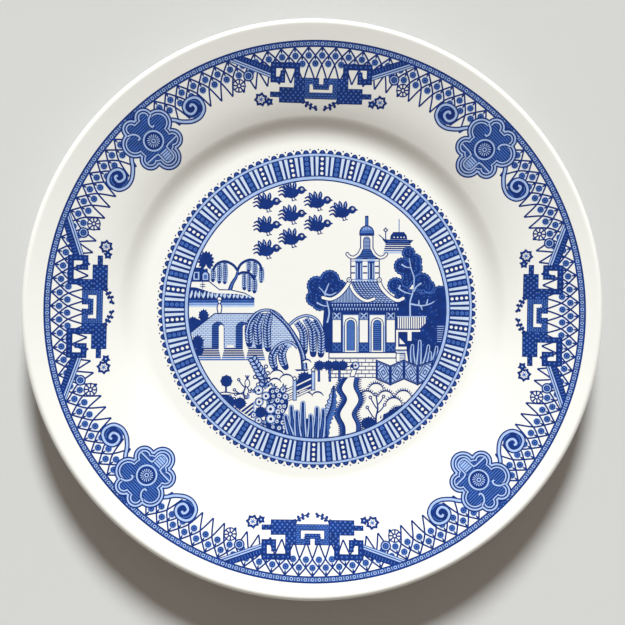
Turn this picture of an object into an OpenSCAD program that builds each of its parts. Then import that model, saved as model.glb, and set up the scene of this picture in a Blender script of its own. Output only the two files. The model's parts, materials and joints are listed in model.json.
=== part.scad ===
// Rimmed dinner plate in glazed porcelain, with printed transfers on its flange and well.
// The plate stands on z = 0 with its axis on Z, and its face looks up.

/* [Plate] */
// Diameter over the rim
plate_d = 267; // [240:1:300]
// Height from the table to the top of the rim
plate_h = 22.5; // [21:0.5:25]
// Radius of the rounded lip, which is half the lip's thickness
lip_r = 2.1; // [1.6:0.1:2.4]

/* [Well] */
// Diameter of the flat floor of the well
well_d = 155; // [148:1:156]
// Height of the well's floor above the table
floor_z = 7; // [6.5:0.1:7.5]
// Diameter where the well's wall turns into the flange
verge_d = 181; // [179:1:185]
// Height of the face at the verge
verge_z = 12; // [11.5:0.1:12.8]

/* [Foot] */
// Outer diameter of the bare foot ring
foot_d = 160; // [152:1:162]
// Radial width of the foot ring
foot_w = 3.6; // [3:0.1:4.5]
// Depth of the recess inside the foot ring
foot_h = 2.8; // [2.6:0.1:3]

/* [Glaze] */
// Thickness of the fired glaze
glaze_t = 0.25; // [0.15:0.05:0.3]
// Height above the table where the glaze stops on the foot ring
glaze_line = 1.2; // [1:0.1:1.4]

/* [Transfers] */
// Thickness of a fired transfer
film_t = 0.06; // [0.04:0.01:0.1]
// Outer diameter of the border print
border_d = 249.2; // [240:0.1:250]
// Radial reach of the border print
border_w = 33; // [28:0.5:33]
// How far off the plate's axis the border was laid
border_shift = [1, -0.9]; // [-1:0.1:1]
// Diameter of the medallion print
medallion_d = 150; // [130:0.1:150]
// How far off the plate's axis the medallion was laid
medallion_shift = [2.1, 0.3]; // [-2.2:0.1:2.2]

/* [Hidden] */
QUARTERS = ["east", "north", "west", "south"];
$fn = 96;

plate_r = plate_d / 2;
foot_r = foot_d / 2;
verge = [verge_d / 2, verge_z];
// Slopes of the face at the verge and at the lip, and of the back behind the verge
verge_slope = 21.7;
lip_slope = 13.5;
back_slope = 18;
// Radius of the fillet inside the foot ring, and of the foot ring's worn corners
recess_fillet = 1.2;
foot_round = 0.7;
// Points along each long curve and round the lip
curve_steps = 20;
lip_steps = 24;
fillet_steps = 6;

function heading(a) = [cos(a), sin(a)];
function bezier(p, t) =
    pow(1 - t, 3) * p[0] + 3 * t * pow(1 - t, 2) * p[1] + 3 * t * t * (1 - t) * p[2] + pow(t, 3) * p[3];
function curve(p, steps = curve_steps) = [for (i = [1:steps]) bezier(p, i / steps)];
function arc(centre, r, from, to, steps) =
    [for (i = [0:steps]) centre + r * heading(from + (to - from) * i / steps)];
function reversed(path) = [for (i = [len(path) - 1:-1:0]) path[i]];
function unit(v) = v / norm(v);
function along(path, i) = unit(path[min(i + 1, len(path) - 1)] - path[max(i - 1, 0)]);
// The path moved to the right of its own direction of travel, which is into the clay
function moved_in(path, d) =
    [for (i = [0:len(path) - 1]) let (u = along(path, i)) path[i] + d * [u[1], -u[0]]];

lip_centre = [plate_r - lip_r, plate_h - lip_r];
lip_top = lip_centre + lip_r * heading(90 + lip_slope);
lip_under = lip_centre + lip_r * heading(lip_slope - 90);
back_verge = [verge[0] + 3, verge[1] - 3.9];
foot_glaze_end = [foot_r + glaze_t, glaze_line];

// The face, from the centre of the well out to the lip
well_edge = [well_d / 2, floor_z];
cavetto = [well_edge, well_edge + [6.5, 0], verge - 3.9 * heading(verge_slope), verge];
flange = [verge, verge + 11 * heading(verge_slope), lip_top - 26 * heading(lip_slope), lip_top];
face_path = concat([[0, floor_z], well_edge], curve(cavetto), curve(flange));

// The back, from the lip in to the glaze line on the foot ring
back_flange = [
    lip_under, lip_under - 12 * heading(lip_slope),
    back_verge + 12 * heading(back_slope), back_verge
];
back_cavetto = [
    back_verge, back_verge - 6 * heading(back_slope),
    foot_glaze_end + [0, 2.3], foot_glaze_end
];
lip_path = arc(lip_centre, lip_r, 90 + lip_slope, lip_slope - 90, lip_steps);
lip_inner_path = [for (i = [1:lip_steps]) lip_path[i]];
coat_path = concat(face_path, lip_inner_path, curve(back_flange), curve(back_cavetto));

// The recess inside the foot ring, from its glaze line in to the centre
recess_wall_r = foot_r - foot_w - glaze_t;
recess_centre = [recess_wall_r - recess_fillet, foot_h - recess_fillet];
recess_path = concat(
    [[recess_wall_r, glaze_line]],
    arc(recess_centre, recess_fillet, 0, 90, fillet_steps),
    [[0, foot_h]]
);

// The bare foot ring, from its outer glaze line to its inner one
foot_outer_corner = [foot_r - foot_round, foot_round];
foot_inner_corner = [foot_r - foot_w + foot_round, foot_round];
foot_path = concat(
    arc(foot_outer_corner, foot_round, 0, -90, fillet_steps),
    arc(foot_inner_corner, foot_round, -90, -180, fillet_steps)
);

// A skin of thickness t on the clay side of a path
module skin_section(path, t) {
    polygon(concat(path, reversed(moved_in(path, t))));
}

// A transfer film that lies on the whole face; each transfer is cut from it
module face_film() {
    rotate_extrude() skin_section(face_path, -film_t);
}

module biscuit_body() {
    color("linen")
    rotate_extrude()
    polygon(concat(moved_in(coat_path, glaze_t), foot_path, moved_in(recess_path, glaze_t)));
}

module glaze_coat() {
    color("ghostwhite")
    rotate_extrude()
    skin_section(coat_path, glaze_t);
}

module foot_recess_glaze() {
    color("ghostwhite")
    rotate_extrude()
    skin_section(recess_path, glaze_t);
}

module medallion_transfer() {
    color("royalblue")
    intersection() {
        face_film();
        translate(medallion_shift) cylinder(h = plate_h, d = medallion_d);
    }
}

// One quarter of the border, centred on the given direction
module border_transfer(direction) {
    color("mediumblue")
    intersection() {
        face_film();
        translate(border_shift)
        rotate(direction - 45)
        linear_extrude(plate_h)
        intersection() {
            difference() {
                circle(d = border_d);
                circle(d = border_d - 2 * border_w);
            }
            square(border_d);
        }
    }
}

biscuit_body();
glaze_coat();
foot_recess_glaze();
medallion_transfer();
for (i = [0:3])
    border_transfer(90 * i);
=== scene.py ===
import cmath
import json
import math

import bmesh
import bpy
import numpy as np
from mathutils import Matrix, Vector
from mathutils.geometry import delaunay_2d_cdt

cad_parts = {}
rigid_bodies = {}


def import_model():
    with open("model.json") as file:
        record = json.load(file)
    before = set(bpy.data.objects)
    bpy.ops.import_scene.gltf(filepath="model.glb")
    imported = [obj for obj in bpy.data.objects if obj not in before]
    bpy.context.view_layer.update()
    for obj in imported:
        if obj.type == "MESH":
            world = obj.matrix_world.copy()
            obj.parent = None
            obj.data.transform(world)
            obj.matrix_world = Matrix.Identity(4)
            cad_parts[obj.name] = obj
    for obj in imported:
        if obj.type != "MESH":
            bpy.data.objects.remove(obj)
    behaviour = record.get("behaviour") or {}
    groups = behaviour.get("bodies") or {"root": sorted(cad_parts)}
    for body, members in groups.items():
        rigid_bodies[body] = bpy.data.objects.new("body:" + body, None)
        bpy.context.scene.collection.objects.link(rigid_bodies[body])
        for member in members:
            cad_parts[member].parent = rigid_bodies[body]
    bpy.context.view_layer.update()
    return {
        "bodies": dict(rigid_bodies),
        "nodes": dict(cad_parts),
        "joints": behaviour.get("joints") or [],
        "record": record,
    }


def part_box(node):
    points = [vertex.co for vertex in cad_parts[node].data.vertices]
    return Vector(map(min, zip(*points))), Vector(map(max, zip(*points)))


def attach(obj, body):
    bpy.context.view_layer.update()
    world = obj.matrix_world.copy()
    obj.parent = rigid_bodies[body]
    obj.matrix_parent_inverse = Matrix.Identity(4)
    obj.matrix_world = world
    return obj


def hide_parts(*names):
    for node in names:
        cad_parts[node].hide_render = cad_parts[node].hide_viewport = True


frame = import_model()

# The drawings are in millimetres, and a point of theirs is a complex number, x + yj.
MM = 0.001

# Tones of ink, in the order of the printed pieces' material slots.
DARK, MID, PALE, FAINT = range(4)
# China shows through where a shape is blank. A region has no tone at all: other shapes are cut to it.
BLANK, REGION = -1, None


# ---------------------------------------------------------------- outlines

def pts(*numbers):
    """Points from x, y, x, y and so on."""
    return [complex(x, y) for x, y in zip(numbers[::2], numbers[1::2])]


def spots(*numbers):
    """Centres and radii, from x, y, radius, x, y, radius..."""
    return [(complex(x, y), r) for x, y, r in zip(numbers[::3], numbers[1::3], numbers[2::3])]


def polar(r, degrees):
    """The point at a radius, the angle counted anticlockwise from +X."""
    return cmath.rect(r, math.radians(degrees))


def clock(r, degrees):
    """The point at a radius, the angle counted clockwise from +Y."""
    return polar(r, 90 - degrees)


def arc(centre, r, start, end, steps):
    return [centre + polar(r, start + (end - start) * i / steps) for i in range(steps + 1)]


def disc(centre, r, sides, turned=0):
    return [centre + polar(r, turned + 360 * i / sides) for i in range(sides)]


def oval(centre, rx, ry, sides, turned=0):
    unit = [polar(1, 360 * i / sides) for i in range(sides)]
    return [centre + complex(rx * p.real, ry * p.imag) * polar(1, turned) for p in unit]


def block(x0, y0, x1, y1):
    return [complex(x0, y0), complex(x1, y0), complex(x1, y1), complex(x0, y1)]


def star(centre, tips, outer, inner, turned):
    step = 180 / tips
    return [centre + polar(inner if i % 2 else outer, turned + step * i) for i in range(2 * tips)]


def bezier(a, b, c, d, steps):
    """A cubic curve from a to d."""
    ts = [i / steps for i in range(steps + 1)]
    return [a * (1 - t) ** 3 + 3 * b * t * (1 - t) ** 2 + 3 * c * t * t * (1 - t) + d * t ** 3 for t in ts]


def smooth(knots, steps, closed=False):
    """A rounded path through the knots."""
    n = len(knots)
    path = []
    for i in range(n if closed else n - 1):
        if closed:
            a, b, c, d = (knots[(i + k) % n] for k in (-1, 0, 1, 2))
        else:
            a, b, c, d = (knots[min(max(i + k, 0), n - 1)] for k in (-1, 0, 1, 2))
        for t in (j / steps for j in range(steps)):
            path.append(0.5 * (2 * b + (c - a) * t + (2 * a - 5 * b + 4 * c - d) * t * t
                               + (3 * b - 3 * c + d - a) * t ** 3))
    return path if closed else path + [knots[-1]]


def leaf(base, tip, width):
    """A pointed leaf, whose two sides bow out by half the width."""
    bow = width / 2 * 1j * (tip - base) / abs(tip - base)
    mid = (base + tip) / 2
    out = bezier(base, (base + mid) / 2 + bow, (mid + tip) / 2 + bow, tip, 5)
    back = bezier(tip, (mid + tip) / 2 - bow, (base + mid) / 2 - bow, base, 5)
    return out[:-1] + back[:-1]


def area(outline):
    return sum((a.conjugate() * b).imag for a, b in zip(outline, outline[1:] + outline[:1])) / 2


# ---------------------------------------------------------------- drawing

class Drawing:
    """Shapes in painter's order. at() and inside() give the same sheet, moved or cut to a region."""

    def __init__(self, shapes=None, place=None, clips=()):
        self.shapes = [] if shapes is None else shapes
        self.place = place or (lambda p: p)
        self.clips = clips

    def at(self, origin, degrees=0, size=1, flip=False):
        def place(p):
            return self.place(origin + polar(size, degrees) * (-p.conjugate() if flip else p))
        return Drawing(self.shapes, place, self.clips)

    def both_sides(self):
        """The sheet mirrored left to right, and the sheet as it is."""
        return self.at(0, flip=True), self

    def inside(self, *outlines):
        group = frozenset(self.fill(outline, REGION) for outline in outlines)
        return Drawing(self.shapes, self.place, self.clips + (group,))

    def fill(self, outline, tone):
        points = [self.place(p) for p in outline]
        if area(points) < 0:
            points.reverse()
        self.shapes.append((points, tone, self.clips))
        return len(self.shapes) - 1

    def box(self, x0, y0, x1, y1, tone):
        self.fill(block(x0, y0, x1, y1), tone)

    def dot(self, centre, r, tone, sides, turned=0):
        self.fill(disc(centre, r, sides, turned), tone)

    def rings(self, centre, sides, *rings):
        """Discs on one centre, the largest first. A ring is (radius, tone)."""
        for r, tone in rings:
            self.dot(centre, r, tone, sides)

    def strokes(self, path, *strokes):
        """Strokes along one path, the widest first. A stroke is (width, tone)."""
        for width, tone in strokes:
            self.line(path, width, tone)

    def poly(self, tone, *numbers):
        """A straight-sided shape through the given x, y, x, y..."""
        self.fill(pts(*numbers), tone)

    def stroke(self, width, tone, *numbers):
        """A straight stroke through the given x, y, x, y..."""
        self.line(pts(*numbers), width, tone)

    def line(self, path, width, tone, closed=False):
        """A stroke along a path. Its width is one number, or one for each point of the path."""
        widths = width if isinstance(width, (list, tuple)) else [width] * len(path)
        n = len(path)
        ends = range(n if closed else n - 1)
        headings = [(path[(i + 1) % n] - path[i]) for i in ends]
        headings = [h / abs(h) if abs(h) > 1e-9 else 1 for h in headings]
        for i in ends:
            j = (i + 1) % n
            before = headings[i - 1] if closed or i > 0 else headings[i]
            after = headings[(i + 1) % len(headings)] if closed or i + 1 < len(headings) else headings[i]
            a, b = mitre(before, headings[i]) * widths[i] / 2, mitre(headings[i], after) * widths[j] / 2
            quad = [path[i] - a, path[j] - b, path[j] + b, path[i] + a]
            if not is_convex(quad):
                a = b = 1j * headings[i] * max(widths[i], widths[j]) / 2
                quad = [path[i] - a, path[j] - b, path[j] + b, path[i] + a]
            if is_convex(quad):
                self.fill(quad, tone)

    def hatch(self, outlines, pitch, width, tone, degrees=0):
        """Parallel stripes that fill the outlines."""
        points = [p * polar(1, -degrees) for outline in outlines for p in outline]
        x0, x1 = min(p.real for p in points) - 1, max(p.real for p in points) + 1
        y0, y1 = min(p.imag for p in points), max(p.imag for p in points)
        cut = self.inside(*outlines)
        for i in range(math.ceil(y0 / pitch), math.floor(y1 / pitch) + 1):
            y = i * pitch
            cut.fill([p * polar(1, degrees) for p in block(x0, y - width / 2, x1, y + width / 2)], tone)

    def sheets(self):
        """The inked triangles, as flat points and (corners, tone) pairs."""
        points, faces = [], []
        for outline, _, _ in self.shapes:
            faces.append(list(range(len(points), len(points) + len(outline))))
            points += [(p.real, p.imag) for p in outline]
        found = delaunay_2d_cdt(points, [], faces, 1, 1e-5, True)
        corners, triangles, sources = found[0], found[2], found[5]
        inked = []
        for triangle, ids in zip(triangles, sources):
            tone = self.tone_of(ids)
            if tone not in (BLANK, REGION):
                inked.append((triangle, tone))
        return [complex(*c) for c in corners], inked

    def tone_of(self, ids):
        over = set(ids)
        for i in sorted(over, reverse=True):
            tone, clips = self.shapes[i][1:]
            if tone is not REGION and all(over & group for group in clips):
                return tone
        return BLANK


def mitre(before, after):
    """Half the joint between two headings, long enough to keep the stroke's width."""
    joint = before + after
    if abs(joint) < 0.7:
        return 1j * after
    joint /= abs(joint)
    return 1j * joint / max((joint.conjugate() * after).real, 0.5)


def is_convex(quad):
    sides = [b - a for a, b in zip(quad, quad[1:] + quad[:1])]
    turns = [(a.conjugate() * b).imag for a, b in zip(sides, sides[1:] + sides[:1])]
    return min(turns) > 1e-9


def outlined(d, outline, tone, width):
    d.fill(outline, tone)
    d.line(outline, width, DARK, closed=True)


def twin_line(d, path, width, edge, tone=BLANK):
    """A light stroke between two dark edges."""
    d.line(path, width, DARK)
    d.line(path, width - 2 * edge, tone)


def tapered(path, start, end):
    """Widths for a stroke that thins from start to end."""
    n = len(path) - 1
    return [start + (end - start) * i / n for i in range(n + 1)]


def swelling(path, width, tip):
    """Widths for a stroke that swells from the tip's width in its middle."""
    n = len(path) - 1
    return [tip + (width - tip) * math.sin(math.pi * i / n) for i in range(n + 1)]


def spaced(path, pitch):
    """Points at equal steps along a path, each with the path's heading there."""
    found, ahead = [], pitch / 2
    for a, b in zip(path, path[1:]):
        heading = (b - a) / abs(b - a)
        while ahead < abs(b - a):
            found.append((a + heading * ahead, heading))
            ahead += pitch
        ahead -= abs(b - a)
    return found


# ---------------------------------------------------------------- border

# Half of one quarter of the border, from the middle of a fret to the middle of a cloud. Its frame has
# the plate's centre at 0 and the fret's axis along +Y, and the rest of the border mirrors and turns it.
HALF_QUARTER = 45
BAND_OUTER, BAND_INNER, BORDER_INNER = 124.6, 121.4, 91.8
# One cell of the lattice in degrees, and where its lines cross for the first and second time and end.
CELL = 3
CELLS = HALF_QUARTER // CELL
CROSSING, SECOND_CROSSING, LATTICE_END = 117.7, 113.7, 106
SECOND_BUD = 114.1
LINE = 0.75


def ring_sector(inner, outer, start, end, step=1):
    """A piece of a ring between two clock angles."""
    n = max(1, round((end - start) / step))
    angles = [start + (end - start) * i / n for i in range(n + 1)]
    return [clock(outer, a) for a in angles] + [clock(inner, a) for a in reversed(angles)]


def chain_band(d):
    """The band along the border's outer edge: rings and bars by turns on a tint, between two lines."""
    span = (-CELL, HALF_QUARTER + CELL)
    tint = (BAND_INNER + 0.65, BAND_OUTER - 0.75)
    d.fill(ring_sector(BAND_INNER, BAND_OUTER, *span), DARK)
    d.fill(ring_sector(*tint, *span), MID)
    middle = sum(tint) / 2
    for i in range(-1, 2 * CELLS + 2):
        link = d.at(0, -i * CELL / 2)
        link.rings(middle * 1j, 14, (0.95, DARK), (0.78, PALE))
        link.dot(middle * 1j, 0.45, DARK, 10)
        bar = d.at(middle * polar(1, 90 - (i + 0.5) * CELL / 2), -(i + 0.5) * CELL / 2)
        bar.box(-0.5, -0.95, 0.5, 0.95, DARK)
        bar.box(-0.16, -0.8, 0.16, 0.8, PALE)


def lattice(d):
    """Crossing lines that hang from the band in points, with a bud in each cell."""
    radii = (BAND_INNER, CROSSING, SECOND_CROSSING, LATTICE_END)
    for i in range(-3, CELLS + 2):
        for side in (-1, 1):
            knots = [clock(r, (i + side * k / 2) * CELL) for k, r in enumerate(radii)]
            d.line(smooth(knots, 4), LINE, DARK)
    for i in range(-2, CELLS + 2):
        bud(d.at(clock(CROSSING, i * CELL), -i * CELL), BAND_INNER - CROSSING)
        bud(d.at(clock(SECOND_BUD, (i + 0.5) * CELL), -(i + 0.5) * CELL), CROSSING - SECOND_BUD)


def bud(d, stem):
    d.line([0, stem * 1j], [0.4, 0.9], DARK)
    d.rings(0, 16, (1.75, PALE), (1.4, DARK), (0.9, MID), (0.5, DARK))


def rod(d):
    """The slanting rod from the band down to the fret, with a ribbed wedge above it."""
    top, foot = 43 + 114.7j, 22.8 + 107.9j
    along = (foot - top) / abs(foot - top)
    up = -1j * along
    wedge = [top, foot, foot + 3.7 * up, top + 3.4 * up - 2 * along]
    d.fill(wedge, DARK)
    ribs = d.inside(wedge)
    for i in range(16):
        start = top + along * (1.4 * i - 2)
        ribs.line([start + 1.5 * up, start + 2.9 * up], 0.32, MID)
    d.strokes([top - 2 * along, foot], (2.3, DARK), (1.6, PALE), (0.45, DARK))


def coin(d):
    d.rings(0, 20, (2.5, DARK), (1.85, PALE), (1.45, DARK), (0.85, MID), (0.45, DARK))


def wheel(d):
    """A disc with eight light cells round a light hub."""
    d.dot(0, 3.1, DARK, 24)
    for i in range(8):
        d.at(0, 45 * i).poly(BLANK, 1.2, -0.2, 2.5, -0.6, 2.5, 0.6, 1.2, 0.2)
    d.dot(0, 0.65, BLANK, 4, 45)


def rosette(d):
    """The star that hangs off the fret's end, with a small one beside it."""
    tips, turned = 7, 97
    d.fill(star(0, tips, 3.4, 2.5, turned), DARK)
    d.fill(star(0, tips, 1.9, 1.4, turned), BLANK)
    for i in range(tips):
        ray = polar(1, turned + i * 360 / tips)
        d.line([0.5 * ray, 1.35 * ray], 0.35, MID)
    d.dot(0, 0.55, MID, 10)
    small = -3.8 - 0.9j
    d.fill(star(small, 5, 2.2, 1.4, 70), DARK)
    d.dot(small, 0.4, PALE, 6)


def checks(d, x0, y0, x1, y1, size):
    """Small lozenges in a staggered grid, all inside a block."""
    pitch = 1.2
    rows, columns = round((y1 - y0) / pitch), round((x1 - x0) / pitch)
    for j in range(rows):
        for i in range(j % 2, columns, 2):
            centre = complex(x0 + (i + 0.5) * (x1 - x0) / columns, y0 + (j + 0.5) * (y1 - y0) / rows)
            d.dot(centre, size, MID, 4)


def fret(d):
    """The right half of the fret: a hooked arm, a stepped foot and half of the U-shaped middle block."""
    hook = [(9.9, 111.4, 23.5, 114.2), (20.9, 105, 23.5, 114.2), (16.7, 105, 23.5, 107.7),
            (16.7, 105, 19, 110.5), (9.9, 102.5, 12.6, 114.2)]
    foot = [(7.5, 96.2, 12.6, 107.6), (7.5, 96.2, 19.3, 103.1), (19.2, 98.5, 23.5, 100.9)]
    d.box(9.9, 105, 23.5, 114.2, BLANK)
    opened = d.inside(block(12.5, 104.9, 21, 111.4))
    for foot_x, top_x in ((14.1, 11.6), (14.1, 17.4), (20.4, 17.2), (20.4, 22.6)):
        opened.line(pts(foot_x, 104.9, top_x, 112), LINE, DARK)
    for corners in hook + foot:
        d.box(*corners, DARK)
    for x in (11.2, 13.5, 15.8, 18.1, 20.4, 22.2):
        d.dot(complex(x, 112.8), 0.44, MID, 6)
    for spot in pts(11.2, 110.5, 11.2, 108.2, 22.2, 110.7, 22.2, 108.6, 22.2, 106.4, 17.9, 109.2, 17.9, 107.5,
                    17.9, 106.2, 20.1, 106.3):
        d.dot(spot, 0.44, MID, 6)
    checks(d, 7.7, 96.4, 19.1, 102.9, 0.57)
    checks(d, 7.7, 102.9, 12.5, 107.3, 0.57)
    checks(d, 19.4, 98.7, 23.3, 100.7, 0.44)
    middle_block(d)
    sprig(d)


def middle_block(d):
    """Half of the U-shaped block: brickwork round a white U, with a notch in its top."""
    d.box(-0.1, 98.2, 7.9, 107.6, DARK)
    bricks = d.inside(block(0, 98.5, 7.6, 107.3))
    for row in range(9):
        y = 98.9 + row
        for i in range(-1, 7):
            x = 1.5 * i + 0.75 * (row % 2)
            bricks.box(x - 0.58, y - 0.32, x + 0.58, y + 0.32, MID)
    d.box(-0.1, 100.8, 5.6, 104.9, DARK)
    d.box(-0.1, 101.1, 5.3, 104.7, BLANK)
    d.box(-0.1, 102.4, 3.7, 107.6, DARK)
    for row, y in enumerate((103.1, 104.2, 105.3, 106.4)):
        for i in range(3):
            x = 1.5 * i + 0.7 * (row % 2)
            d.box(x - 0.45, y - 0.25, x + 0.45, y + 0.25, MID)
    d.box(-0.1, 104.8, 0.95, 107.8, BLANK)


def sprig(d):
    """The leafy twig under the block."""
    stem = smooth(pts(7.8, 98.2, 6.9, 96.4, 4.6, 95, 1.9, 93.6), 4)
    d.line(stem, 0.6, DARK)
    for i, turned in ((2, 60), (4, -45), (5, 70), (7, -50), (8, 65), (10, -60)):
        heading = stem[i + 1] - stem[i]
        d.fill(leaf(stem[i], stem[i] + heading / abs(heading) * polar(1.8, turned), 1.9), DARK)
    d.dot(stem[-1], 0.7, DARK, 8)


# The cloud's lobes on its right side, anticlockwise from the lowest, as (centre, radius) about its roundel.
RIGHT_LOBES = [(6.9 - 5.1j, 4.9), (7.3 + 4.5j, 6.3), (3.8 + 10.5j, 4.6)]
LOBES = [(-9.8j, 5.9)] + RIGHT_LOBES + [(-c.conjugate(), r) for c, r in reversed(RIGHT_LOBES)]


def lobed(shrink):
    """The cloud with its edge drawn in by the shrink: a disc for each lobe, and what lies between them."""
    inner = []
    for (a, a_r), (b, b_r) in zip(LOBES, LOBES[1:] + LOBES[:1]):
        gap = abs(b - a)
        reach = (gap ** 2 + a_r ** 2 - b_r ** 2) / (2 * gap)
        notch = complex(reach, shrink - math.sqrt(a_r ** 2 - reach ** 2))
        inner += [a, a + (b - a) / gap * notch]
    return [inner] + [disc(c, r - shrink, 40) for c, r in LOBES]


def cloud(d):
    """The lobed flower at the corner of the border, round its roundel."""
    for seed in pts(0, 15.6, -1.6, 15.2, 1.6, 15.2, 0, 14.4):
        d.dot(seed, 0.85, DARK, 8)
        d.dot(seed, 0.35, MID, 6)
    for shrink, tone in ((-0.1, DARK), (0.6, PALE), (1.35, DARK), (2.05, PALE), (2.65, DARK)):
        for outline in lobed(shrink):
            d.fill(outline, tone)
    d.hatch(lobed(3.1), 1.04, 0.48, MID)
    for half in d.both_sides():
        fold(half)
    roundel(d)


def fold(d):
    """The light lines inside one side of the cloud: a hook in the big lobe, a pocket in the lowest."""
    d.strokes(smooth(pts(7.3, 9.3, 5, 8.4, 3.7, 6.5, 3.9, 4.9, 5, 4.9), 4), (1.6, DARK), (0.75, PALE))
    pocket = smooth(pts(0, -11.8, 1.5, -11.5, 2.4, -10.3, 2.5, -7.5, 2.6, -5.9), 3)
    d.inside(pocket + [-5.9j]).hatch([block(0, -11.5, 2.4, -5.4)], 1.1, 0.6, PALE)
    d.strokes(pocket + pts(4, -5.45, 9, -5.4), (1.4, DARK), (0.65, PALE))


def roundel(d):
    d.rings(0, 36, (5.2, DARK), (4.85, PALE), (4.1, DARK))
    for i in range(16):
        ray = polar(1, i * 22.5)
        d.line([1.4 * ray, 2.9 * ray], [0.2, 0.5], PALE)
    d.rings(0, 14, (1.05, PALE), (0.6, DARK))


def scroll(d):
    """A rolled band whose tail runs to the cloud along +X, with a crescent between its turns."""
    tail = pts(12, 3.8, 9.9, 1.6, 8.4, -0.6, 6.6, -2.5, 3.7, -4.6, 0, -5.4)
    outer = pts(-3.7, -3.9, -5.15, -0.2, -3.9, 2.7, -0.5, 4, 2.4, 2.9)
    inner = pts(3.3, 0.6, 2.4, -1.6, 0.6, -2.1, -1.2, -1.3, -1.4, 0.3, -0.6, 1.4, 0.4, 0.9)
    band = smooth(tail + outer + inner, 4)
    d.dot(-0.9 - 0.7j, 4.6, DARK, 32)
    d.line(band, 2.3, DARK)
    for crescent in (pts(-1.7, -4, 1.2, -4, 3.6, -2.7), pts(-3.7, -1.4, -3.3, 1.2, -1.8, 2.5)):
        d.line(smooth(crescent, 4), 0.4, MID)
    d.line(band, 1, PALE)


def border_half():
    """Everything between a fret's axis and a cloud's axis."""
    sheet = Drawing()
    d = sheet.inside(ring_sector(BORDER_INNER, BAND_OUTER, 0, HALF_QUARTER))
    lattice(d)
    rod(d)
    coin(d.at(clock(112.6, 17.4), -17.4))
    wheel(d.at(clock(109.6, 20.2), -20.2))
    rosette(d.at(27.6 + 97.2j))
    fret(d)
    chain_band(d)
    scroll(d.at(clock(109.5, 32.7), -HALF_QUARTER))
    cloud(d.at(clock(108.2, HALF_QUARTER), -HALF_QUARTER))
    return sheet


# ---------------------------------------------------------------- medallion band

# The landscape ends and the band begins at LAND_R. The bars lie between BAR_FOOT and BAR_HEAD.
LAND_R = 58.2
BAR_FOOT, BAR_HEAD, SCALLOP_FOOT = 60.3, 69.3, 70.4
BARS = 60
BAR_STEP = 360 / BARS
WEDGES = BARS // 2


def medallion_wedge():
    """Two steps of the ring of bars round the landscape: one bar of pearls and one of small rings."""
    sheet = Drawing()
    d = sheet.inside(ring_sector(LAND_R, 72.8, -BAR_STEP / 2, 1.5 * BAR_STEP, 0.75))
    for inner, outer, tone in ((LAND_R, 70.6, DARK), (58.8, 60, PALE), (60.5, 69.1, FAINT),
                               (69.45, 70.35, PALE)):
        d.fill(ring_sector(inner, outer, -BAR_STEP, 2 * BAR_STEP, 0.75), tone)
    for i in range(-2, 6):
        edge = d.at(0, -i * BAR_STEP / 2)
        edge.fill([complex(1.45 * p.real, SCALLOP_FOOT + 1.75 * p.imag) for p in arc(0, 1, 0, 180, 12)], DARK)
        edge.dot(71.3j, 0.3, MID, 6)
        d.dot(clock(72.3, (i + 0.5) * BAR_STEP / 2), 0.36, DARK, 8)
    for i in range(-1, 3):
        bar = d.at(0, -i * BAR_STEP)
        bar.box(-1.68, BAR_FOOT, 1.68, BAR_HEAD, DARK)
        for k in range(4):
            centre = (61.5 + 2.2 * k) * 1j
            if i % 2 == 0:
                bar.dot(centre, 0.72, BLANK, 14)
            else:
                bar.dot(centre, 0.88, MID, 14)
                bar.dot(centre, 0.3, DARK, 4, 45)
        d.at(0, -(i + 0.5) * BAR_STEP).box(-0.52, BAR_FOOT, 0.52, BAR_HEAD, DARK)
    return sheet


# ---------------------------------------------------------------- landscape

# Strides that spread k * stride % 1 evenly over 0 to 1, and the angle that does so round a circle.
STRIDE_X, STRIDE_Y, STRIDE_R, STRIDE_ANGLE = 0.618, 0.414, 0.382, 137.5
# The height of the water in front of the bridge.
WATERLINE = -18


def swallow(d):
    """A plump bird in flight to the right, with streaming tail feathers and raised wings."""
    for lift, reach in ((1.8, 6.4), (0.1, 7), (-1.7, 6.6)):
        tail = smooth(pts(-1.5, lift * 0.3 - 0.4, -3.2, lift - 0.7, -4.8, lift + 0.6, -reach, lift - 0.2), 4)
        d.line(tail, tapered(tail, 1.5, 0.6), DARK)
    for base, tip in ((-1.8 + 0.2j, -4.4 + 4.7j), (-0.6 + 0.4j, -1.7 + 5.4j), (0.9 + 0.6j, 1.5 + 5.3j)):
        d.fill(leaf(base, tip, 2.9), DARK)
        d.line([base + (tip - base) * 0.4, base + (tip - base) * 0.8], 0.3, PALE)
    d.fill(oval(-0.2 - 0.6j, 3.6, 2.5, 22, 6), DARK)
    d.poly(DARK, 2, 0.9, 3.6, 2.1, 4.2, -0.4, 2.4, -1.6)
    d.dot(4.6 + 0.9j, 1.95, DARK, 18)
    d.poly(DARK, 6, 1.8, 7.6, 0.8, 6, 0)
    d.dot(4.9 + 1.3j, 0.6, BLANK, 10)
    d.dot(5 + 1.3j, 0.3, DARK, 8)
    for x, y in ((0.4, -4.4), (1.7, -4)):
        d.stroke(0.5, DARK, x - 0.9, y + 2.2, x, y)
        d.stroke(0.4, DARK, x - 0.6, y, x + 0.8, y)


def flock(d):
    for x, top, count in ((-22.6, 48, 3), (-11.1, 53.2, 3), (0.7, 48.7, 2), (12.2, 44.3, 1)):
        for i in range(count):
            swallow(d.at(complex(x, top - 10.7 * i), size=0.93))


def ripples(d, spans, top, pitch, tones, width):
    """Level water lines that fade downwards."""
    for i, tone in enumerate(tones):
        for start, end in spans:
            inset, y = 0.25 * i, top - pitch * i
            d.box(start - inset, y - width, end + inset, y, tone)


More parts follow.
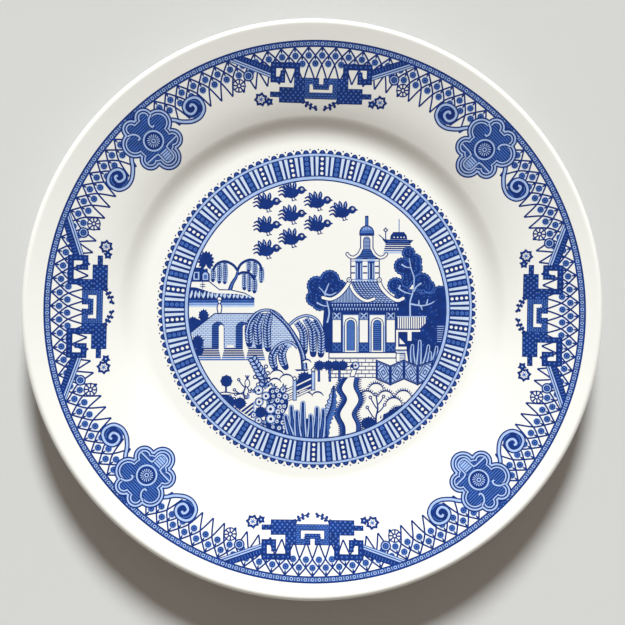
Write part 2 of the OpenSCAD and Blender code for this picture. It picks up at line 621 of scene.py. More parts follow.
def boat(d):
    ripples(d, [(31.8, 43.4)], 29.6, 0.95, (DARK, DARK, DARK, MID, PALE), 0.6)
    d.stroke(0.4, DARK, 28.8, 33.7, 31.5, 31.4)
    d.poly(DARK, 30.3, 31.8, 33.5, 31.5, 42, 31.5, 44.8, 31.3, 43.2, 29.7, 31.9, 29.7)
    d.stroke(0.25, MID, 33, 30.6, 42.4, 30.6)
    d.poly(DARK, 33.9, 31.6, 41.9, 31.6, 41.6, 33.4, 40.4, 35, 35.4, 35, 34.2, 33.4)
    for x in (35.8, 37.4, 39, 40.4):
        d.dot(complex(x, 32.6), 0.35, BLANK, 6)
    d.stroke(0.4, MID, 38.1, 35, 38.1, 41)
    d.stroke(0.5, DARK, 31.9, 31.7, 31.9, 35)
    d.rings(31.9 + 35.9j, 4, (1.25, DARK), (0.55, BLANK))


def scallops(centre, r, count):
    """A round outline with small bumps."""
    radii = [r + 0.35 * abs(math.sin(math.pi * i / 3)) for i in range(3 * count)]
    return [centre + polar(radius, 120 * i / count) for i, radius in enumerate(radii)]


def foliage(d, *numbers):
    """Dark clouds of leaves with a pale thread just inside their edge. A cloud is x, y, radius."""
    lobes = spots(*numbers)
    for tone, shrink in ((DARK, -0.1), (MID, 0.45), (DARK, 0.8)):
        for centre, r in lobes:
            d.fill(scallops(centre, r - shrink, round(4.2 * r)), tone)
    for centre, r in lobes:
        for k in range(round(1.6 * r)):
            turned = STRIDE_ANGLE * k
            curl = centre + polar((r - 1.6) * (0.4 + 0.5 * (k * STRIDE_X % 1)), turned)
            d.line(arc(curl, 0.45, turned, turned + 130, 3), 0.22, MID)


def branches(d, *paths):
    for path in paths:
        path = smooth(path, 4)
        d.line(path, tapered(path, 0.75, 0.375), PALE)


def grove(d):
    """The dark trees on both sides of the pagoda."""
    foliage(d, 42.5, 25.3, 2.9, 39.7, 19.3, 3.8, 45.3, 21.8, 3.2, 44.8, 18.4, 3.9, 42.6, 14.6, 3.2,
            48.6, 12, 4.2, 51.6, 9.9, 3, 36.5, 10.4, 3.6, 39.6, 7, 3.6, 41.5, 11.9, 2.6, 44.8, 4.3, 4.4,
            50.5, 3.4, 4.2, 54, 4.4, 3.2, 56.9, 7.2, 3)
    d.poly(DARK, 36.4, 2.8, 41, 3.2, 47, 5, 53, 5, 55.8, 9.6, 60, 9.6, 60, -12, 55, -25.6, 42.5, -26.5,
           41.5, -19.5, 36.4, -19.5)
    for k in range(34):
        at = complex(43.2 + 13.5 * (k * STRIDE_X % 1), 4 - 22 * (k * STRIDE_Y % 1))
        d.line([at, at + polar(1, 50 + 75 * (k % 3))], 0.24, MID)
    for i in range(8):
        d.box(55.6, -8.4 - i, 60, -8.1 - i, PALE)
    branches(d, pts(43.2, -3.5, 43.2, 3, 44.4, 7.4, 45, 13.6, 43.6, 18.4, 42.8, 23),
             pts(39.2, 20.2, 41, 19, 43.3, 18.6), pts(37.6, 9.4, 40.2, 7.6, 44.2, 6.4),
             pts(38.6, 10.6, 38.2, 9), pts(48.4, 11.6, 46, 9.8, 45, 7.6),
             pts(43.4, 2, 48.4, 1.2, 52, 1.9, 54.4, 3.2),
             pts(47.2, 1.3, 47.2, 3.8), pts(50.6, 1.4, 51.4, 4.2), pts(48, 1.2, 48.8, -0.8))
    foliage(d, 6.2, 12.9, 4.4, 10.4, 9.6, 3.4, 0.2, 10.2, 4.3, 3.6, 6.4, 4.6, -1, 4.6, 3.6, 5.6, 2.6, 3.6,
            1.6, 2.4, 3.4, 9.4, 6, 3.2)
    d.poly(DARK, 3.6, 1, 8.4, 2, 8, -20.2, 4.2, -20.2, 2.9, -8)
    branches(d, pts(5, -6.6, 5.9, -2.6, 5.4, 1, 3.8, 6.6, 1.2, 9.6), pts(3.9, 6.8, 5.8, 11.4),
             pts(3.9, 6.6, 6.4, 6, 9.2, 7.2), pts(0.2, 2.6, 3, 1.2, 5.4, 1))


# The pagoda's axis, the sides of its upper room and of its ground floor, and its pillars and windows.
PAGODA_X = 23.2
STOREY = (15.6, 29.2)
WALL = (7.2, 36.6)
PILLARS = (9.4, 21.8, 34.2)
ARCHES = (15.8, 28)


def upturned(d, width, *numbers):
    """A roof's light edge board, curling up to a rounded end."""
    board = smooth(pts(*numbers), 5)
    edge = 0.42
    d.dot(board[-1], width / 2, DARK, 14)
    twin_line(d, board, width, edge)
    d.dot(board[-1], width / 2 - edge, BLANK, 12)


def spire(d):
    """The tower's top, about its own axis."""
    d.box(-0.8, 37.6, 0.8, 42.4, DARK)
    d.box(-0.4, 37.8, 0.4, 41.6, MID)
    outlined(d, arc(34.6j, 3.2, 0, 180, 14) + pts(-3.2, 33.6, 3.2, 33.6), MID, 0.5)
    d.hatch([arc(35j, 2.4, 20, 160, 8)], 0.7, 0.3, PALE, 90)
    d.box(-3.2, 33.6, 3.2, 34.4, DARK)
    d.box(-3.1, 26, 3.1, 33.6, DARK)
    d.box(-2.6, 26, 2.6, 33.2, BLANK)
    window = pts(-1.5, 26.4, 1.5, 26.4) + arc(31.2j, 1.5, 0, 180, 8)
    d.fill(window, DARK)
    d.hatch([window], 0.62, 0.26, PALE)
    d.line(window, 0.35, DARK, closed=True)


def small_roof(d):
    skirt = pts(-2.6, 27, 2.6, 27, 4.4, 23.8, 6.6, 22.6, -6.6, 22.6, -4.4, 23.8)
    d.fill(skirt, DARK)
    d.hatch([skirt], 0.8, 0.3, MID)
    for half in d.both_sides():
        upturned(half, 1.75, 2.4, 27.2, 3.6, 24.9, 5.9, 23.3, 7.9, 23.7, 9, 24.9)


def storey(d):
    """The upper room: light panels between two latticed windows."""
    left, right = STOREY
    d.box(left, 12.6, right, 22.6, DARK)
    d.box(left + 0.5, 12.6, right - 0.5, 22.4, BLANK)
    for y in (18.9, 15.9):
        d.box(left, y, right, y + 0.6, DARK)
    for x in (19.6, 25.2):
        for half, low, high, tone in ((1.75, 12.6, 22.6, PALE), (1.4, 13.2, 21, DARK), (1, 13.6, 20.6, PALE),
                                      (0.55, 13.6, 20.6, DARK), (1.75, 21, 21.4, DARK)):
            d.box(x - half, low, x + half, high, tone)
    for y in (13.2, 21.6):
        d.stroke(0.3, MID, left, y, right, y)


def main_roof(d):
    """The big roof: a tiled slope, a hatched gable in front, and light boards along its edges."""
    slope = smooth(pts(15.2, 12.4, 28.8, 12.4, 30.8, 8.6, 34, 5.4, 37.6, 3.6, 33, 1.8, 20, 1.6, 8, 2,
                       12, 6, 15.2, 12.4), 3)[:-1]
    d.fill(slope, DARK)
    tiles = d.inside(slope)
    for i in range(15):
        knots = pts(13.4 + 1.3 * i, 13, 14.4 + 1.4 * i, 8.4, 17 + 1.6 * i, 5, 21.5 + 1.75 * i, 1.4)
        row = bezier(*knots, 12)
        tiles.line(row, 0.62, PALE)
        for joint in row[1:-1]:
            tiles.line([joint - 0.5, joint + 0.5 - 0.2j], 0.34, DARK)
    gable = pts(15.1, 10.2, 17, 7, 19.6, 4.6, 23.6, 2.6, 6.6, 2.6, 10.6, 4.8, 13.4, 7.2)
    d.fill(gable, DARK)
    d.hatch([gable], 0.68, 0.34, PALE, 90)
    frieze(d)
    upturned(d, 2.2, 28.8, 12.2, 30.4, 8.9, 33.6, 5.6, 37.2, 3.6, 40, 4.6)
    upturned(d, 2, 15.2, 12.2, 16.9, 8.2, 19.8, 5, 23.2, 3.4, 26.6, 4.4)
    upturned(d, 2.2, 15.2, 12.2, 13.2, 9, 10.2, 5.9, 6.6, 4.2, 3, 4.9)
    for knob in (15.1 + 13j, 28.9 + 13j):
        outlined(d, disc(knob, 1.05, 14), BLANK, 0.42)
        d.dot(knob, 0.35, DARK, 6)


def frieze(d):
    """Rows of pointed pendants under the eaves."""
    d.box(6.4, -2, 37.6, 2.6, DARK)
    for row, y in enumerate((1.3, -0.5)):
        for i in range(24):
            x = 7.4 + 1.28 * i + 0.64 * row
            d.poly(PALE, x - 0.36, y + 0.6, x + 0.36, y + 0.6, x, y - 0.75)


def carved_block(d, tone):
    """A square panel with a crossed flower in it."""
    d.box(-1.95, -1.75, 1.95, 1.75, DARK)
    for turned in (45, 135, 225, 315):
        d.fill(leaf(polar(0.2, turned), polar(1.95, turned), 0.85), tone)
    d.dot(0, 0.5, tone, 8)
    d.line(block(-1.75, -1.55, 1.75, 1.55), 0.22, tone, closed=True)


def arched_window(d, barred):
    """A window in its frame, about its own axis."""
    d.box(-3.9, -20.2, 3.9, -2.6, DARK)
    d.box(-3.6, -20, 3.6, -3, PALE)
    d.box(-3.3, -8, 3.3, -3.2, BLANK)
    for half, tone in ((3, DARK), (2.6, BLANK), (1.95, DARK), (1.6, MID)):
        d.fill(pts(half, -19.8, -half, -19.8) + arc(-7.2j, half, 180, 0, 12), tone)
    if barred:
        for i in range(14):
            d.box(-1.6, -19.4 + 0.9 * i, 1.6, -19 + 0.9 * i, DARK)
    d.box(-2.6, -20, 2.6, -19.4, BLANK)


def hall(d):
    """The ground floor with its pillars, windows, slab and brick steps."""
    d.box(WALL[0], -20.4, WALL[1], -1.6, DARK)
    for x, barred in zip(ARCHES, (False, True)):
        arched_window(d.at(x), barred)
    for x in PILLARS:
        d.box(x - 1.85, -15.6, x + 1.85, -5.4, BLANK)
        carved_block(d.at(complex(x, -3.4)), PALE)
        carved_block(d.at(complex(x, -17.9)), MID)
    outlined(d, block(5.8, -22.8, 36.7, -20.3), BLANK, 0.5)
    outlined(d, block(36.7, -24.6, 40.8, -20.6), BLANK, 0.4)
    d.hatch([block(38.2, -24.4, 40.8, -20.8)], 0.7, 0.3, MID)
    for row in range(5):
        y = -23.2 - 1.72 * row
        d.box(5.4, y - 1.72, 28, y, DARK)
        for i in range(-1, 8):
            x = 5.7 + 3.4 * i + 1.7 * (row % 2)
            d.box(max(x, 5.7), y - 1.4, min(x + 3.1, 27.7), y - 0.1, BLANK)
    d.box(5.4, -31.9, 28, -31.6, DARK)


def shed(d):
    """The low wing at the pagoda's right: a ribbed roof on two posts."""
    roof = pts(37, -9.3, 37, -3.8, 50.6, -3.8, 50.6, -6.6, 47.6, -9.3)
    d.fill(roof, DARK)
    d.hatch([roof], 1.02, 0.56, BLANK, 90)
    d.stroke(0.4, PALE, 37, -3.8, 50.8, -3.8)
    for corners in ((36.7, -10.8, 47.8, -9.9), (36.7, -18.8, 37.6, -9.9), (42, -14.9, 43.8, -10.2),
                    (36.5, -18.9, 41.5, -17.6)):
        d.box(*corners, BLANK)
    d.poly(BLANK, 38.3, -16.4, 38.3, -13.6, 40.9, -16.4)
    d.stroke(0.35, PALE, 37, -19.8, 41, -19.8)


def agave(d, width, *blades):
    """Stiff upright leaves, dark with a light rim and a rounded tip. A blade is (foot, tip, bend)."""
    for foot, tip, bend in blades:
        rise = tip - foot
        spine = bezier(foot, foot + rise * 0.35 + bend, foot + rise * 0.7 + bend, tip, 8)
        for wide, tone in ((width, DARK), (width - 0.7, PALE), (width - 2.2, DARK)):
            d.line(spine, tapered(spine, wide, 0.55 * wide), tone)
            d.dot(tip, 0.275 * wide, tone, 12)
        d.line(spine[1:-2], 0.25, MID)


def folding_fence(d):
    """Four panels of nested diamonds that zigzag to the landscape's edge."""
    xs = (27.6, 34, 40.3, 46.6, 53.4)
    tops, feet = (-23.9, -26.5, -23.9, -26.5, -24.2), (-32.3, -35, -32.3, -35, -31.8)
    for i in range(4):
        panel = [complex(xs[i], feet[i]), complex(xs[i + 1], feet[i + 1]),
                 complex(xs[i + 1], tops[i + 1]), complex(xs[i], tops[i])]
        outlined(d, panel, PALE, 0.7)
        middle = sum(panel) / 4
        frame = [middle + (p - middle) * 0.84 for p in panel]
        halves = [(a + b) / 2 - middle for a, b in zip(frame, frame[1:] + frame[:1])]
        d.line(frame, 0.35, DARK, closed=True)
        fretted = d.inside(frame)
        for size in (0.35, 0.85, 1.35):
            fretted.line([middle + size * h for h in halves], 0.45, DARK, closed=True)


def spiky(centre, r, tips, depth, stretch=1):
    """A tufted bush: a star whose tips take turns at two lengths."""
    outline = []
    for i in range(2 * tips):
        reach = r if i % 4 == 0 else (r * 0.88 if i % 2 == 0 else r * (1 - depth))
        p = polar(reach, 90 + 180 * i / tips)
        outline.append(centre + complex(p.real * stretch, p.imag))
    return outline


def island(d):
    """The far shore at the left: a palm, a small house and a little willow over a band of water."""
    for i, tone in enumerate((DARK, DARK, DARK, MID, DARK, MID, MID, PALE, MID, PALE, PALE, FAINT)):
        d.box(-60, 4.7 - 0.35 * (i + 1), -28.3, 4.7 - 0.35 * i, tone)
    shore = pts(-60, 12.2, -49, 12.2, -44.2, 8.4, -39, 8.3, -32.6, 6.8, -28.2, 4.3, -60, 4.3)
    outlined(d, shore, BLANK, 0.45)
    turf = d.inside(shore)
    turf.fill(smooth(pts(-60, 9.6, -55, 9.4, -50.5, 8, -46, 6.8, -40, 6.6, -36, 6.4, -31, 5.4, -27, 4,
                         -60, 4), 2), DARK)
    for i in range(15):
        base = complex(-57.4 + 1.95 * i, 4.4)
        height = 3.9 - 0.16 * i
        turf.fill(leaf(base, base + complex(0.9 - 0.3 * (i % 3), height), 1.2), FAINT)
        if i % 3 != 1:
            turf.fill(leaf(base, base + complex(-0.9, height * 0.8), 0.9), PALE)
    crown = -50.3 + 21.4j
    for i in range(13):
        frond = polar(4.9, 24 * i - 54)
        d.fill(leaf(crown, crown + complex(0.8 * frond.real, frond.imag), 2.4), DARK)
    d.poly(DARK, -50.6, 18, -49.6, 18, -48.9, 12.3, -50.2, 12.3)
    d.poly(DARK, -57, 12.4, -57, 18.6, -52.2, 18.4, -50, 17.3, -48.6, 15.4, -48.6, 12.4)
    outlined(d, block(-56.2, 12.7, -53.2, 16.6), PALE, 0.3)
    d.box(-55.4, 13.4, -54, 16, DARK)
    gate = pts(-49.2, 12.7, -52, 12.7) + arc(-50.6 + 15j, 1.4, 180, 0, 8)
    outlined(d, gate, PALE, 0.3)
    middle = -50.6 + 14j
    d.fill([middle + (p - middle) * 0.55 for p in gate], MID)
    d.stroke(0.35, DARK, -51.8, 12.2, -51.8, 8.8)
    for y in (10.8, 9.8):
        d.stroke(0.35, DARK, -53, y, -50.6, y)
    little_willow(d)


def little_willow(d):
    trunk = smooth(pts(-39.4, 8.3, -38.3, 11.4, -36.6, 14.2, -35.8, 17.4), 4)
    d.strokes(trunk, (tapered(trunk, 2.1, 1), DARK), (tapered(trunk, 0.8, 0.3), MID))
    boughs = (
        (pts(-36, 17.2, -38, 19.7, -41.7, 21.3, -45.3, 20.1, -47.3, 17),
         (-47.2, 18, 12.6), (-44.3, 20.4, 11.9), (-41.8, 21, 11.7)),
        (pts(-36, 17.2, -34.4, 20.1, -31.2, 21.9, -28, 21.7, -25.7, 19.7, -25, 16.8),
         (-25.2, 18.6, 12.3), (-28.2, 21.4, 14.4), (-30.9, 21.4, 17.2)),
        (pts(-35.8, 15.4, -33.5, 16.3, -30.3, 15.7, -28.2, 13),
         (-32.9, 15.9, 8.9), (-30.6, 15.5, 8.2), (-28.3, 13.6, 7.5)),
    )
    for bough, *places in boughs:
        for x, high, low in places:
            strand = pts(x, high, x + 0.2, (high + low) / 2, x, low)
            d.line(strand, 2.9, FAINT)
            tress(d, strand, 2.2)
        d.line(smooth(bough, 5), 1.2, DARK)


def bridge(d):
    """A brick bridge with round arches, a vase on its parapet, bushes at its foot and ripples under it."""
    d.fill(spiky(-51.4 - 3.4j, 3.2, 13, 0.25, 0.85), DARK)
    d.poly(DARK, -58, -5.2, -55.4, -4.4, -52.6, -5.6, -49, -4.2, -57.6, -11, -59, -11)
    d.fill(spiky(-56.4 - 6j, 2.4, 11, 0.25), DARK)
    wall = pts(-46.4, -2.5, -18, -2.5, -9.6, -14, -11.6, -18.2, -52, -18.2, -57.4, -11.2)
    d.fill(wall, FAINT)
    masonry = d.inside(wall)
    for row in range(19):
        y = -3.2 - 0.85 * row
        masonry.box(-60, y - 0.12, -9, y + 0.12, MID)
        for i in range(26):
            x = -58 + 1.9 * i + 0.95 * (row % 2)
            masonry.box(x - 0.1, y - 0.8, x + 0.1, y, MID)
    d.line(wall[:2], 0.55, DARK)
    d.line([wall[5], wall[0]], 0.55, DARK)
    foot = WATERLINE - 0.4
    for x in (-44.8, -33.9):
        mouth = pts(x + 2.9, foot, x - 2.9, foot) + arc(complex(x, -9), 2.9, 180, 0, 12)
        d.fill(mouth, DARK)
        d.hatch([mouth], 1, 0.26, MID)
        d.fill(pts(x + 2.55, foot, x + 0.35, foot) + arc(complex(x + 1.45, -8.7), 1.1, 180, 0, 8), BLANK)
    d.box(-40.9, WATERLINE, -37.6, WATERLINE + 1.2, BLANK)
    ripples(d, [(-54.4, -44.6), (-42, -33.6), (-31, -24.6)], WATERLINE - 0.1, 1,
            (DARK, DARK, DARK, DARK, MID, MID), 0.68)
    d.fill(spiky(-54 - 15.6j, 3.9, 15, 0.3, 0.85), DARK)
    d.fill(spiky(-53.4 - 19.4j, 3, 13, 0.3, 0.8), DARK)
    vase = pts(-44.8, -2.4, -45.3, 0.2, -44.7, 2.2, -45.2, 3.6, -45, 5, -43.4, 5, -43.2, 3.6, -43.7, 2.2,
               -43.1, 0.2, -43.6, -2.4)
    outlined(d, smooth(vase, 3), BLANK, 0.5)
    d.stroke(0.4, DARK, -45.4, 3.6, -43, 3.6)
    d.stroke(0.4, DARK, -44.9, 2, -43.5, 2)


def tress(d, path, width):
    """A hanging strand of foliage: pairs of light leaflets on a dark band."""
    path = smooth(path, 5)
    d.line(path, swelling(path, width, 0.75 * width), DARK)
    d.dot(path[-1], 0.37 * width, DARK, 10)
    for p, heading in spaced(path, 0.4 + 0.2 * width):
        for side in (-1, 1):
            start = p + heading * polar(0.06 * width, 90 * side)
            d.fill(leaf(start, p + heading * polar(0.48 * width, 122 * side), 0.3 + 0.13 * width), PALE)


def great_willow(d):
    """The willow in front of the bridge: a leaning trunk, three crowns, and tresses down to the bank."""
    trunk = smooth(pts(-5.4, -27.8, -6.4, -20.5, -9.7, -13.3, -14.3, -6.8, -20.8, -1.2), 6)
    crowns = (
        (pts(-13.6, -7.6, -17.2, -3, -21.6, -0.9, -26.6, -1.8, -30.4, -6.2, -31.9, -11.4),
         pts(-26.6, -2.4, -30.4, -7.6, -30.8, -12.6, -30.6, -16.4),
         pts(-24.4, -2.4, -26.8, -7.6, -26.7, -13, -26.2, -17.4),
         pts(-21, -2.2, -22.4, -7.6, -22.5, -13, -22, -18.6)),
        (pts(-12.4, -7.6, -8.6, -4.6, -4, -3.4, 0.4, -5.4, 3, -10.4),
         pts(-9, -6.4, -6.2, -10.4, -5.6, -15.2, -5.5, -19.8),
         pts(-5, -4.8, -2.2, -9.6, -1.6, -15, -1.4, -21),
         pts(-1, -5.4, 1.9, -11, 2.3, -16, 2.1, -21.2)),
        (pts(-8.6, -18.2, -11.2, -15.8, -14.6, -15.5, -18.2, -17.4, -20.2, -20.6),
         pts(-17.4, -17.8, -19.8, -21.2, -19.8, -24.6, -18.9, -27.2),
         pts(-13.6, -16.8, -15.6, -20.4, -15.3, -24, -14, -26.9)),
    )
    for crown, *strands in crowns:
        for strand in strands:
            tress(d, strand, 3.9)
        twin_line(d, smooth(crown, 5), 1.4, 0.45, PALE)
    d.strokes(trunk, (tapered(trunk, 3, 1.6), DARK), (tapered(trunk, 1.2, 0.5), PALE))
    for p, heading in spaced(trunk, 1.3):
        d.line([p + heading * 0.6, p + heading * polar(1.2, 150)], 0.4, DARK)
    d.poly(DARK, -9.9, -27.9, -3.2, -27.9, -4.2, -28.7, -9, -28.7)


def ring_flower(d, r, petals=9):
    """A round flower: a ring of petals about a dark eye."""
    d.dot(0, r + 0.4, DARK, 20)
    for i in range(petals):
        d.dot(polar(r * 0.62, 360 * i / petals), r * 0.4, PALE, 8)
    d.dot(0, r * 0.7, BLANK, 14)
    d.dot(0, r * 0.4, DARK, 10)


def berry(d, centre, r):
    d.dot(centre, r, DARK, 12)
    d.dot(centre, r - 0.5, BLANK, 10)


def spray(d, r, stem, tips):
    """A twig with a berry of radius r on each of its side shoots."""
    stem = smooth(stem, 4)
    d.line(stem, tapered(stem, 0.9, 0.6), DARK)
    for i, tip in enumerate(tips):
        start = stem[min(len(stem) - 1, round((i + 1) * len(stem) / (len(tips) + 1)))]
        d.line(smooth([start, (start + tip) / 2 - 0.5j, tip], 3), 0.55, DARK)
        berry(d, tip, r)


def knoll(d, centre, r, start, spiked=False):
    """A rounded rock, drawn from the start angle over its top to the same angle on its other side."""
    end = 180 - start
    edge = arc(centre, r, start, end, 12)
    d.fill(edge, BLANK)
    d.line(edge, swelling(edge, 0.75, 0.3), DARK)
    if spiked:
        for i in range(11):
            angle = start + (end - start) * i / 10
            d.line([centre + polar(r, angle), centre + polar(r + 1.2, angle + 4)], [0.55, 0.3], DARK)


def post(d, x, low, high):
    outlined(d, block(x - 0.75, low, x + 0.75, high), PALE, 0.4)
    outlined(d, disc(complex(x, high + 0.7), 1, 4), BLANK, 0.4)


def garden(d):
    """The near bank at the left: flowers, sprays, a rail fence and rocks."""
    d.fill(spiky(-41 - 33.2j, 3, 16, 0.14), DARK)
    d.stroke(0.9, DARK, -41.2, -35, -41.2, -38.6)
    d.line(smooth(pts(-46, -39.4, -42, -38.2, -38, -38.8, -34, -38.9), 3), 0.5, DARK)
    d.poly(DARK, -43.6, -39.2, -39.4, -39.4, -36.6, -42, -38, -45.6, -43, -42)
    for centre, r in spots(-39.4, -39.9, 0.7, -42, -40.6, 0.6, -37.4, -41.2, 0.8):
        berry(d, centre, r)
    spray(d, 0.8, pts(-32.6, -41, -33.2, -38.6, -32.4, -36.2, -31.6, -33.4),
          pts(-37.4, -37.2, -36.8, -39.2, -35.4, -32.6, -30.4, -38))
    outlined(d, oval(-31.5 - 34.2j, 1.1, 1.8, 16), BLANK, 0.45)
    for x in (-32.4, -31.5, -30.6):
        d.stroke(0.5, DARK, -31.5, -32.5, x, -30.6)
    fern = smooth(pts(-23.4, -37, -23.8, -32.4, -26.4, -27.8, -29.4, -22.6), 5)
    d.line(fern, 0.6, DARK)
    for i, (p, heading) in enumerate(spaced(fern, 1.9)):
        for side in (-1, 1):
            outlined(d, leaf(p, p + heading * polar(3.6 - 0.14 * i, side * 48), 2.2), PALE, 0.5)
    for centre in (-23 - 26.6j, -22.2 - 29.6j, -21.8 - 32.8j, -26.6 - 34.8j, -28 - 31.4j):
        d.line([centre, complex(-24, centre.imag - 2.6)], 0.45, DARK)
        berry(d, centre, 1)
    for centre, r in spots(-18, -31.6, 3.4, -13.6, -33.6, 3.4, -18.8, -35, 3, -4.4, -25.6, 2.2,
                           -4.6, -41.4, 3.2, 0.6, -41, 2.8, -9.4, -40.6, 2.4):
        knoll(d, centre, r, 20)
    rail_fence(d)
    d.fill(spiky(-34.8 - 43.4j, 3.3, 16, 0.25), DARK)
    d.poly(DARK, -35.6, -46.2, -28.6, -42.6, -28.4, -50.8)
    for i in range(5):
        start = complex(-34.6 + 1.35 * i, -46.6 - 1.05 * i)
        d.line([start, complex(-28.8, start.imag + 4.2 - 0.75 * i)], 0.62, BLANK)
    d.stroke(0.7, PALE, -28.3, -42.4, -28.3, -51)
    d.fill(smooth(pts(-21.6, -36.8, -16.6, -37, -13.4, -40.4, -13, -45, -15.6, -50, -15.4, -58, -23.4, -56,
                      -23, -47), 3, closed=True), DARK)
    flowers(d)


def flowers(d):
    """A drift of small flowers, the large ones beside it, and tufts of leaves between them."""
    for k in range(24):
        row, column = divmod(k, 3)
        drift = complex(0.9 * (row % 2) - 0.7 * (k * STRIDE_X % 1), 0.9 * (k * STRIDE_Y % 1))
        r = 0.8 + 0.5 * (k * STRIDE_R % 1)
        ring_flower(d.at(complex(-20 + 2.5 * column, -38 - 2.4 * row) + drift), r, 7)
    for centre, r in spots(-26.3, -37.4, 1.8, -23, -40.1, 1.7, -26.1, -42.7, 1.7, -20.9, -46, 2,
                           -20.8, -50.5, 2, -26.4, -51.2, 1.4, -24, -54.2, 1.2, -28.6, -48.6, 1):
        ring_flower(d.at(centre), r)
    d.fill(spiky(-25.4 - 47.4j, 3, 16, 0.2), DARK)
    for foot, turned in ((-30.4 - 40.6j, 160), (-29.4 - 38.6j, 60), (-23 - 43.2j, 20), (-19.6 - 42.6j, 110),
                         (-20 - 36.4j, 60), (-23 - 51.8j, 200), (-15.4 - 36.6j, 40), (-22.8 - 36.6j, 100)):
        for fan in (-40, 0, 40):
            tip = foot + polar(2.5, turned + fan)
            d.fill(leaf(foot, tip, 1.1), DARK)
            d.line([foot, (foot + tip) / 2], 0.24, PALE)


def rail_fence(d):
    """Three rails between two posts, running back over the rocks."""
    d.fill(spiky(-5.4 - 31.6j, 3, 13, 0.3, 1.25), DARK)
    d.poly(DARK, -9.8, -33.4, -1.4, -29.6, -1.4, -36.4, -8.8, -38)
    for ends in ((-16.6, -39, -0.8, -31.4), (-15.4, -41, -0.8, -34.4), (-14.6, -42.6, -0.8, -36.4)):
        twin_line(d, pts(*ends), 1.3, 0.35)
    post(d, -9.9, -42, -32.8)
    post(d, -1.4, -37.4, -28.8)


def bank_bushes(d):
    """Dark bushes on thin trunks along the water."""
    for x in (1.4, 5.6, 9, 12):
        d.fill(spiky(complex(x, -26.2), 2.8, 14, 0.28, 1.1), DARK)
    for x in (1.2, 6.2, 10.6):
        d.box(x - 0.6, -33.6, x + 0.6, -26, DARK)
        d.stroke(0.25, MID, x, -33, x, -28)


def path(d):
    """The light path that winds down to the edge between dark banks."""
    left = smooth(pts(14.6, -31.6, 11.8, -36.6, 14.2, -41.8, 11, -48.3, 13.3, -54, 13.4, -60), 5)
    right = smooth(pts(17.5, -31.6, 17, -36, 19.3, -42, 16.2, -48.2, 18.2, -53.6, 17.6, -60), 5)
    near, far = [p - 2.6 for p in left], [p + 2.3 for p in right]
    d.fill(near + far[::-1], DARK)
    for edge, out in ((near, -0.9), (far, 1.5)):
        for p, _ in spaced(edge, 1):
            d.line([p - 0.5 * out, p + complex(out, 0.7)], [0.9, 0.2], DARK)
            d.line([p - 0.3 * out, p + complex(-1.2 * out, 0.7)], 0.28, MID)
    d.fill(left + right[::-1], BLANK)
    outlined(d, pts(16.2, -28.2, 18.6, -28, 17.6, -31.2, 15.4, -31.4), BLANK, 0.4)
    ring_flower(d.at(18 - 26.2j), 1.5, 7)
    d.dot(16.4 - 26.4j, 0.9, DARK, 10)


def serrated_leaf(d):
    spine = smooth(pts(5, -60, 4.4, -52, 7, -44, 8, -35.6), 7)
    widths = swelling(spine, 5.2, 0.4)
    edges = []
    for side in (-1, 1):
        edge = []
        for i, p in enumerate(spine):
            heading = spine[min(i + 1, len(spine) - 1)] - spine[max(i - 1, 0)]
            out = side * 1j * heading / abs(heading)
            edge.append(p + out * widths[i] * (0.55 if i % 2 else 0.36))
        edges.append(edge)
    outlined(d, edges[0] + edges[1][::-1], PALE, 0.45)
    d.fill(edges[0] + spine[::-1], MID)
    d.line(spine, 0.9, DARK)
    for i in range(2, len(spine) - 2):
        for side in (-1, 1):
            d.line([spine[i], spine[i] + complex(side * widths[i] * 0.34, 0.9)], 0.3, DARK)


def near_rocks(d):
    """Bristled rocks, a berry branch and tufts at the lower right."""
    for centre, r in spots(27.4, -37.6, 3.3, 23.2, -41, 3.2, 31.8, -41.2, 3.4, 40, -41.2, 3.6,
                           35.6, -44.6, 3.7, 37.2, -48.2, 2.8):
        knoll(d, centre, r, 15, spiked=True)
    d.fill(spiky(24 - 52.6j, 3.4, 17, 0.25, 1.2), DARK)
    d.poly(DARK, 28, -52.6, 30.4, -50.6, 31.2, -48.4, 32.6, -48, 34, -46.4, 36, -46.2, 38.6, -44.6, 44, -42,
           46, -44, 30, -56, 25, -58)
    for k in range(9):
        at = complex(29.5 + 1.35 * k, -50.4 + 0.75 * k)
        d.line([at, at + complex(0.3, 1.5)], [0.8, 0.15], DARK)
    spray(d, 0.85, pts(27.6, -54.6, 27.4, -50, 28.2, -46.4, 28, -43.4, 27.4, -40),
          pts(23.4, -45.4, 31.4, -44.2, 24.8, -40.8, 30.9, -40.4, 27.4, -39.4))


